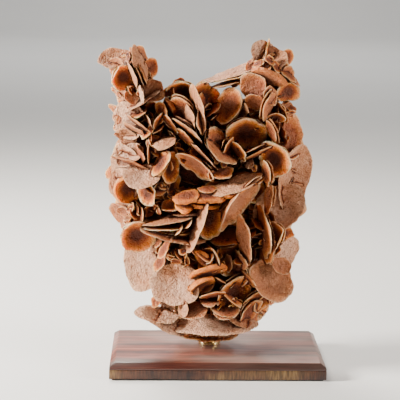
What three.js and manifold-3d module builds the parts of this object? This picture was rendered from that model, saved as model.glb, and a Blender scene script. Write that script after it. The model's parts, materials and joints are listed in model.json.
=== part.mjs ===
// A gypsum sand rose on its display stand: one grown mass of bladed crystals,
// held up by a brass pin, collar and flange on a base of two hardwood boards.
// Units are millimetres. +X is to the right, +Y to the back and +Z up.
// The origin is under the middle of the base, on the surface that it stands on.
import * as THREE from "three";
import { mergeVertices } from "three/addons/utils/BufferGeometryUtils.js";
import Module from "manifold-3d";

const wasm = await Module();
wasm.setup();

// ---- driving dimensions of the stand ----
const BASE_WIDTH = 190;
const BASE_DEPTH = 110;
const FELT_THICKNESS = 1.2;
const FELT_INSET = 2.5;
const LOWER_BOARD_HEIGHT = 8.4;
const LOWER_CHAMFER = { width: 0.6, height: 0.6 };
const UPPER_BOARD_HEIGHT = 5.8;
const UPPER_CHAMFER = { width: 5, height: 4 };

const PIN_X = -6; // the pin stands a little left of the middle, towards the back
const PIN_Y = 10;
const PIN_RADIUS = 2.5;
const PIN_CLEARANCE = 0.3; // round the pin in every hole it passes through
const PIN_IN_STONE = 26;
const PIN_IN_LOWER_BOARD = 5;
const HOLE_END_CLEARANCE = 0.5; // beyond each end of the pin
const FLANGE_RADIUS = 10;
const FLANGE_HEIGHT = 2.4;
const COLLAR_RADIUS = 7;
const COLLAR_HEIGHT = 5.4;
const BRASS_EDGE = 0.6; // chamfer on the turned brass
const TURNED_SIDES = 20; // facets round a turned piece

// ---- heights that follow from them ----
const LOWER_BOARD_Z = FELT_THICKNESS;
const UPPER_BOARD_Z = LOWER_BOARD_Z + LOWER_BOARD_HEIGHT;
const BASE_TOP = UPPER_BOARD_Z + UPPER_BOARD_HEIGHT;
const COLLAR_Z = BASE_TOP + FLANGE_HEIGHT;
const SEAT_Z = COLLAR_Z + COLLAR_HEIGHT; // flat seat cut under the stone
const PIN_Z = UPPER_BOARD_Z - PIN_IN_LOWER_BOARD;
const PIN_TOP = SEAT_Z + PIN_IN_STONE;

// ---- the crystals ----
// Each blade is a thin lens: [x, y, z, radius, lean, roll, oval].
// lean is the angle between its face and the front, 0 for face-on and 90 for edge-on.
// roll is the way in which the face tips, seen from the front: 0 right, 90 up, 180 left, 270 down.
// oval is the short radius as a share of the long one, which lies across the tip.
const BLADES = {
  leftHorn: [
    [-92, 0, 276, 17, 55, 78, 0.8],
    [-70, -8, 273, 17.5, 72, 18, 0.8],
    [-68, 0, 274, 14, 65, 14, 0.8],
    [-61, -8, 247, 13, 35, 25, 0.95],
    [-66, -14, 241, 17, 82, 122, 0.6],
    [-80, -8, 222, 18, 35, 190, 0.95],
    [-70, -20, 221, 13.5, 80, 231, 0.75],
    [-58, 0, 228, 13, 30, 330, 0.9],
  ],
  leftWing: [
    [-48, -30, 205, 13, 75, 110, 0.75],
    [-80, -14, 193, 14.5, 52, 120, 0.9],
    [-77, -22, 187, 18.5, 76, 250, 0.7],
    [-67, -30, 177, 16, 45, 100, 0.9],
    [-83, -10, 183, 17, 30, 180, 0.95],
    [-84, -10, 165, 16, 28, 190, 0.95],
    [-78, -18, 163, 15, 28, 350, 0.95],
    [-42, -24, 183, 14, 40, 0, 0.8],
    [-42, -14, 165, 13, 30, 0, 0.9],
  ],
  leftWaist: [
    [-71, -22, 121, 16.5, 20, 300, 0.95],
    [-65, -10, 95, 22.5, 22, 170, 1],
    [-43, -25, 138.5, 26, 86, 101, 0.75],
    [-40, -25, 125, 28, 80, 79, 0.8],
    [-27, -20, 143.5, 21, 88, 91, 0.75],
    [-19, -40, 136, 29, 78, 160, 0.6],
  ],
  centreStack: [
    [-12, -38, 160, 17, 72, 95, 0.5],
    [-22, -26, 157, 15, 70, 280, 0.8],
    [12, -35, 170.5, 25, 66, 111, 0.5],
    [18, -36, 154, 29, 58, 325, 0.52],
  ],
  centreSpray: [
    [-22, -36, 186, 19.5, 58, 235, 0.7],
    [-13, -38, 195, 17, 80, 224, 0.7],
    [-1, -36, 198, 17, 75, 51, 0.75],
    [-28, -28, 217, 17, 75, 230, 0.7],
    [-46, -4, 226, 13, 35, 320, 0.9],
  ],
  crown: [
    [-14, -8, 242, 15, 25, 355, 0.95],
    [-33, -8, 249, 13, 45, 262, 0.85],
    [-33, -20, 231, 16, 42, 215, 0.8],
    [-20, -26, 233, 22, 70, 190, 0.7],
    [-25, -34, 229, 13, 75, 193, 0.75],
    [-18, -32, 224, 14, 75, 7, 0.75],
  ],
  rightShoulder: [
    [7, -15, 237, 17, 40, 150, 0.8],
    [23, -18, 212, 19, 32, 285, 0.95],
    [47, -26, 191, 16.5, 28, 210, 0.9],
    [33, -24, 197, 17, 75, 297, 0.7],
    [60, -8, 210, 21, 32, 22, 0.82],
    [68, -9, 174, 30, 24, 348, 0.54],
  ],
  rightHorn: [
    [42, -4, 273, 19.5, 35, 90, 0.9],
    [12, -3, 265.5, 30, 78, 109, 0.42],
    [41, -20, 263, 16.5, 64, 248, 0.7],
    [29, -18, 252, 14.5, 24, 215, 0.9],
    [42, -24, 239, 14, 62, 342, 0.8],
    [32, -12, 238, 13, 30, 275, 0.9],
  ],
  rightFlank: [
    [52, -16, 146, 24, 22, 130, 0.85],
    [41, -34, 126, 24, 79, 186, 0.7],
    [45, -34, 112, 15, 72, 185, 0.75],
    [47, -26, 124, 13, 45, 180, 0.9],
    [62, -12, 107, 14.5, 32, 350, 0.85],
    [48, -27, 84, 21, 36, 65, 0.88],
    [21.5, -36, 122, 22, 68, 190, 0.7],
    [30, -20, 52, 14, 50, 330, 0.85],
    [37, -20, 63, 16, 42, 300, 0.85],
  ],
  skirt: [
    [-38, -30, 80, 21, 20, 120, 0.95],
    [-9, -34, 93, 17, 62, 285, 0.7],
    [-15, -36, 80, 14.5, 58, 300, 0.75],
    [-20, -32, 57, 14, 62, 105, 0.85],
    [15, -28, 71, 19, 35, 330, 0.9],
    [12, -36, 68, 14, 85, 53, 0.7],
    [-55, -20, 50, 19, 68, 82, 0.5],
    [-45, -18, 46, 21, 68, 70, 0.72],
    [-10, 2, 26, 26, 88, 268, 0.9],
    [-2, -24, 42, 39, 66, 92, 0.38],
    [-6, -14, 35, 30, 75, 90, 0.5],
    [22, -22, 46, 14, 66, 70, 0.7],
  ],
};

// Broad thick slabs of crystal inside the mass, which the blades grow out of, in the same form.
const HEART = [
  [-8, 4, 42, 27, 4, 90, 0.6],
  [-8, 2, 70, 40, 4, 90, 0.75],
  [-8, 2, 104, 46, 4, 90, 0.75],
  [-12, 4, 140, 46, 4, 90, 0.75],
  [-58, 4, 100, 22, 4, 180, 0.9],
  [-69, 4, 148, 26, 4, 0, 0.8],
  [-26, 6, 180, 42, 4, 90, 0.75],
  [-66, 4, 200, 30, 4, 0, 0.7],
  [-24, 6, 220, 30, 4, 90, 0.95],
  [-76, 4, 240, 24, 4, 20, 0.6],
  [-76, 4, 264, 19, 4, 40, 0.8],
  [14, 6, 218, 25, 4, 90, 0.95],
  [46, 4, 212, 28, 4, 0, 0.8],
  [40, 4, 258, 24, 4, 90, 0.85],
  [64, 4, 172, 22, 4, 0, 0.7],
  [48, 2, 140, 28, 4, 0, 0.75],
  [42, 2, 96, 26, 4, 30, 0.85],
  [34, 4, 58, 18, 4, 30, 0.8],
];

// Rosettes on the back: [x, y, z, size, yaw, pitch]. yaw 180 faces straight back.
const BACK_ROSETTES = [
  [-80, 5, 262, 13, 195, 20],
  [-76, 7, 228, 18, 200, 10],
  [-74, 9, 186, 21, 200, 0],
  [-70, 9, 142, 21, 205, 5],
  [-58, 8, 98, 23, 200, -10],
  [-26, 7, 238, 18, 180, 20],
  [-24, 12, 202, 22, 185, 10],
  [-20, 14, 156, 26, 180, 0],
  [-16, 13, 110, 26, 175, 5],
  [-14, 11, 66, 25, 180, -15],
  [42, 6, 262, 17, 170, 15],
  [34, 9, 222, 21, 170, 5],
  [36, 12, 180, 23, 170, 0],
  [38, 12, 134, 23, 165, 5],
  [34, 11, 92, 22, 165, -10],
  [62, 6, 152, 17, 140, 0],
  [22, 9, 56, 17, 165, -20],
  [-10, 12, 42, 19, 185, -30],
];

const HEART_DEPTH = 6; // the y that every front blade reaches back to
const EDGE_ON = 52; // a blade leaning more than this reaches back itself, and others have a root
const ROOT_RADIUS = 0.5; // share of the blade's radius
const ROOT_SIDES = 3;
const DISC_OVAL = 0.9; // of a rosette's backing disc
const FAN = { forward: 0.35, across: -0.2, radius: 0.85, turn: -15, oval: 0.8 }; // standing blade
const TWIST_PER_MM = { x: 7, z: 3 }; // degrees that a rosette is turned by for where it stands
const SIDES = 6;
const BIG_BLADE = 20; // a blade of at least this radius gets more sides
const BIG_BLADE_SIDES = 8;
const OUTLINE_WAVES = [[2, 0.05], [3, 0.05], [5, 0.03]]; // waves round a blade and their height
const PHASE_PER_MM = { x: 0.7, z: 1.3 }; // shifts the waves, so that no two outlines are alike
const thicknessOf = (radius) => 1.4 + 0.2 * radius;
const slabThicknessOf = (radius) => 2 * thicknessOf(radius);

// Half outlines of the crystals as [share of radius, share of thickness].
const LENS_OUTLINE = [[0, -0.5], [1, 0], [0, 0.5]];
const SLAB_OUTLINE = [[0, -0.5], [0.85, -0.5], [1, 0], [0.85, 0.5], [0, 0.5]];

const rad = THREE.MathUtils.degToRad;
const points = (pairs) => pairs.map(([x, y]) => new THREE.Vector2(x, y));

// A closed geometry as a manifold-3d solid, its seams merged and its collapsed triangles dropped.
function solidOf(geometry) {
  const bare = new THREE.BufferGeometry().setAttribute(
    "position",
    geometry.getAttribute("position"),
  );
  if (geometry.index) bare.setIndex(geometry.index);
  const merged = mergeVertices(bare, 1e-4);
  const corners = merged.index.array;
  const triVerts = [];
  for (let i = 0; i < corners.length; i += 3) {
    const [a, b, c] = corners.slice(i, i + 3);
    if (a !== b && b !== c && c !== a) triVerts.push(a, b, c);
  }
  return new wasm.Manifold(
    new wasm.Mesh({
      numProp: 3,
      vertProperties: merged.getAttribute("position").array,
      triVerts: new Uint32Array(triVerts),
    }),
  );
}

// A manifold-3d solid as a three.js geometry.
function geometryOf(solid) {
  const mesh = solid.getMesh();
  const position = new Float32Array(mesh.numVert * 3);
  for (let i = 0; i < mesh.numVert; i++) {
    const start = i * mesh.numProp;
    position.set(mesh.vertProperties.subarray(start, start + 3), i * 3);
  }
  const geometry = new THREE.BufferGeometry()
    .setAttribute("position", new THREE.BufferAttribute(position, 3))
    .setIndex(new THREE.BufferAttribute(mesh.triVerts, 1));
  geometry.computeVertexNormals();
  return geometry;
}

// How far the outline stands out at an angle: low waves that differ from blade to blade.
const waveAt = (angle, phase) =>
  OUTLINE_WAVES.reduce(
    (sum, [count, height], i) => sum + height * Math.sin(count * angle + (i + 1) * phase),
    1,
  );

// A lens or slab of crystal with the given centre, long axis, face normal and outline.
function crystal(centre, along, normal, radius, oval, thickness, outline) {
  const sides = radius < BIG_BLADE ? SIDES : BIG_BLADE_SIDES;
  const geometry = new THREE.LatheGeometry(points(outline), sides);
  const position = geometry.getAttribute("position");
  const phase = centre.x * PHASE_PER_MM.x + centre.z * PHASE_PER_MM.z;
  for (let i = 0; i < position.count; i++) {
    const turn = (2 * Math.PI * (Math.floor(i / outline.length) % sides)) / sides;
    const wave = waveAt(turn, phase) * radius;
    position.setXYZ(
      i,
      position.getX(i) * wave,
      position.getY(i) * thickness,
      position.getZ(i) * wave * oval,
    );
  }
  const inward = new THREE.Vector3().crossVectors(along, normal);
  const placing = new THREE.Matrix4().makeBasis(along, normal, inward).setPosition(centre);
  return solidOf(geometry.applyMatrix4(placing));
}

// The centre, long axis and face normal that a row of the tables stands for.
function placeOf([x, y, z, , lean, roll]) {
  const [l, r] = [rad(lean), rad(roll)];
  return {
    centre: new THREE.Vector3(x, y, z),
    along: new THREE.Vector3(-Math.sin(r), 0, Math.cos(r)),
    normal: new THREE.Vector3(
      Math.cos(r) * Math.sin(l),
      -Math.cos(l),
      Math.sin(r) * Math.sin(l),
    ),
  };
}

function slab(row) {
  const { centre, along, normal } = placeOf(row);
  const [, , , radius, , , oval] = row;
  return crystal(centre, along, normal, radius, oval, slabThicknessOf(radius), SLAB_OUTLINE);
}

// A front blade, reaching back into the heart: on edge it is made deeper, face-on it has a root.
function blade(row) {
  const { centre, along, normal } = placeOf(row);
  const [, , , radius, lean, , oval] = row;
  const lens = (middle, depth) =>
    crystal(middle, along, normal, radius, depth, thicknessOf(radius), LENS_OUTLINE);
  const reach = Math.sin(rad(lean));
  const short = HEART_DEPTH - centre.y - radius * oval * reach;
  if (short <= 0) return [lens(centre, oval)];
  if (lean > EDGE_ON) {
    const deeper = short / reach / 2;
    const inward = new THREE.Vector3().crossVectors(along, normal);
    inward.multiplyScalar(Math.sign(inward.y) * deeper);
    return [lens(inward.add(centre), oval + deeper / radius)];
  }
  const length = HEART_DEPTH - centre.y;
  const root = new THREE.ConeGeometry(ROOT_RADIUS * radius, length, ROOT_SIDES);
  root.rotateX(Math.PI).translate(centre.x, centre.y + length / 2, centre.z);
  return [lens(centre, oval), solidOf(root)];
}

// A backing disc with one blade standing out of it.
function rosette([x, y, z, size, yaw, pitch]) {
  const [w, p] = [rad(yaw), rad(pitch)];
  const out = new THREE.Vector3(
    Math.sin(w) * Math.cos(p),
    -Math.cos(w) * Math.cos(p),
    Math.sin(p),
  );
  const twist = rad(x * TWIST_PER_MM.x + z * TWIST_PER_MM.z);
  const side = new THREE.Vector3(Math.cos(w), Math.sin(w), 0).applyAxisAngle(out, twist);
  const up = new THREE.Vector3().crossVectors(out, side);
  const centre = new THREE.Vector3(x, y, z);
  const standing = centre
    .clone()
    .addScaledVector(out, FAN.forward * size)
    .addScaledVector(side, FAN.across * size);
  const turned = side.clone().applyAxisAngle(up, rad(FAN.turn));
  const radius = FAN.radius * size;
  return [
    crystal(centre, up, out, size, DISC_OVAL, thicknessOf(size), LENS_OUTLINE),
    crystal(standing, up, turned, radius, FAN.oval, thicknessOf(radius), LENS_OUTLINE),
  ];
}

// A turned piece round the pin's axis, from z up, with its edges broken; bore may be 0.
function turned(radius, bore, height, z, edge) {
  const outline = points([
    [bore, 0],
    [radius - edge, 0],
    [radius, edge],
    [radius, height - edge],
    [radius - edge, height],
    [bore, height],
    [bore, 0],
  ]);
  const profile = bore > 0 ? outline : outline.slice(0, -1);
  const geometry = new THREE.LatheGeometry(profile, TURNED_SIDES);
  return solidOf(geometry.rotateX(Math.PI / 2).translate(PIN_X, PIN_Y, z));
}

const HOLE_RADIUS = PIN_RADIUS + PIN_CLEARANCE;

// The hole for the pin between two heights.
const hole = (from, to) => turned(HOLE_RADIUS, 0, to - from, from, 0);

// A board with its four top edges chamfered, standing on z: where two long prisms cross.
function board(height, chamfer, z) {
  const prism = (width, length) => {
    const outline = new THREE.Shape(
      points([
        [-width / 2, 0],
        [width / 2, 0],
        [width / 2, height - chamfer.height],
        [width / 2 - chamfer.width, height],
        [chamfer.width - width / 2, height],
        [-width / 2, height - chamfer.height],
      ]),
    );
    const bar = new THREE.ExtrudeGeometry(outline, { depth: length, bevelEnabled: false });
    return bar.rotateX(Math.PI / 2).translate(0, length / 2, z);
  };
  const across = solidOf(prism(BASE_WIDTH, BASE_DEPTH));
  return across.intersect(solidOf(prism(BASE_DEPTH, BASE_WIDTH).rotateZ(Math.PI / 2)));
}

// The stone: every crystal joined, less the flat seat and the drilled hole for the pin.
function sandRose() {
  const front = Object.values(BLADES).flat().flatMap(blade);
  const grown = wasm.Manifold.union([...HEART.map(slab), ...front, ...BACK_ROSETTES.flatMap(rosette)]);
  const seat = turned(FLANGE_RADIUS, 0, SEAT_Z, 0, 0);
  const whole = grown.subtract(seat).subtract(hole(0, PIN_TOP + HOLE_END_CLEARANCE));
  return whole.decompose().reduce((a, b) => (a.volume() > b.volume() ? a : b));
}

function lowerBoard() {
  const blank = board(LOWER_BOARD_HEIGHT, LOWER_CHAMFER, LOWER_BOARD_Z);
  return blank.subtract(hole(PIN_Z - HOLE_END_CLEARANCE, BASE_TOP));
}

function upperBoard() {
  return board(UPPER_BOARD_HEIGHT, UPPER_CHAMFER, UPPER_BOARD_Z).subtract(hole(0, SEAT_Z));
}

function feltPad() {
  const [width, depth] = [BASE_WIDTH - 2 * FELT_INSET, BASE_DEPTH - 2 * FELT_INSET];
  const sheet = new THREE.BoxGeometry(width, depth, FELT_THICKNESS);
  return solidOf(sheet.translate(0, 0, FELT_THICKNESS / 2));
}

// ---- materials and the scene graph ----
const GYPSUM = { color: 0xd3a37c, roughness: 0.75, metalness: 0 };
const RED_WOOD = { color: 0x8a5440, roughness: 0.45, metalness: 0 };
const BROWN_WOOD = { color: 0x7d5a33, roughness: 0.6, metalness: 0 };
const BRASS = { color: 0xd2ab5c, roughness: 0.25, metalness: 1 };
const FELT = { color: 0x1c1c20, roughness: 1, metalness: 0 };

function piece(name, solid, material) {
  const mesh = new THREE.Mesh(geometryOf(solid), new THREE.MeshStandardMaterial(material));
  mesh.name = name;
  return mesh;
}

const stand = new THREE.Group();
stand.add(
  piece("felt_pad", feltPad(), FELT),
  piece("lower_board", lowerBoard(), BROWN_WOOD),
  piece("upper_board", upperBoard(), RED_WOOD),
  piece("flange", turned(FLANGE_RADIUS, HOLE_RADIUS, FLANGE_HEIGHT, BASE_TOP, BRASS_EDGE), BRASS),
  piece("collar", turned(COLLAR_RADIUS, HOLE_RADIUS, COLLAR_HEIGHT, COLLAR_Z, BRASS_EDGE), BRASS),
  piece("mounting_pin", turned(PIN_RADIUS, 0, PIN_TOP - PIN_Z, PIN_Z, BRASS_EDGE), BRASS),
);

const group = new THREE.Group();
group.add(stand, piece("sand_rose", sandRose(), GYPSUM));
export default group;
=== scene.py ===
"""A gypsum sand rose on its wooden stand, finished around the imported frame.

The stone is grown from a table of blades, each a copy of one of a few modelled crystals,
all joined in one solid. The stand is two hardwood boards with turned brass between.
Lengths in the tables are millimetres in the frame's own axes: +X right, +Y back, +Z up.
"""

import json
import math
import random

import bpy
from bpy.props import FloatProperty, FloatVectorProperty, IntProperty, PointerProperty
from mathutils import Matrix, Vector, noise

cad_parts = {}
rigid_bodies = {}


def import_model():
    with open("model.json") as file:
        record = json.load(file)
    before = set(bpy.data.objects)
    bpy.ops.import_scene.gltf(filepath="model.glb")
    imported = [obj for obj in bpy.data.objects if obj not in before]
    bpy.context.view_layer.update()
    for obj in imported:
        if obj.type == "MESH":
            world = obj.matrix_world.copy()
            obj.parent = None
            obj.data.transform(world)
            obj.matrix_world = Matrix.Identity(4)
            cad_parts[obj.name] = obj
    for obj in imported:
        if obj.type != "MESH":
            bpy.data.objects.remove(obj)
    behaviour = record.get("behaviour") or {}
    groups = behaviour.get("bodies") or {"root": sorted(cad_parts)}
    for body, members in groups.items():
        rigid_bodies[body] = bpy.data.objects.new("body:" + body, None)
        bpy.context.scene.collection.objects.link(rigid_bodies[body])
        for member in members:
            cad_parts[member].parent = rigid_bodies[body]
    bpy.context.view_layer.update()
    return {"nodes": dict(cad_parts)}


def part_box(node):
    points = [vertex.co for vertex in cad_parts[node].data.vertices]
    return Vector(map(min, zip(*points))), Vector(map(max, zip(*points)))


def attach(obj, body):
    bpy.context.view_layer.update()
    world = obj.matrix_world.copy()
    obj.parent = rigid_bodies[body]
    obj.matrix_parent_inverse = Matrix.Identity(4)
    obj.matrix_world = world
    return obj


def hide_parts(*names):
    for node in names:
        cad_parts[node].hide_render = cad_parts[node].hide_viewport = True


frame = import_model()

bl_info = {
    "name": "Sand rose on a stand",
    "version": (1, 0, 0),
    "blender": (4, 5, 0),
    "location": "3D View > Sidebar > Sand rose",
    "description": "Grows a gypsum sand rose and makes the wooden stand that holds it",
    "category": "Add Mesh",
}

MM = 0.001

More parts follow.
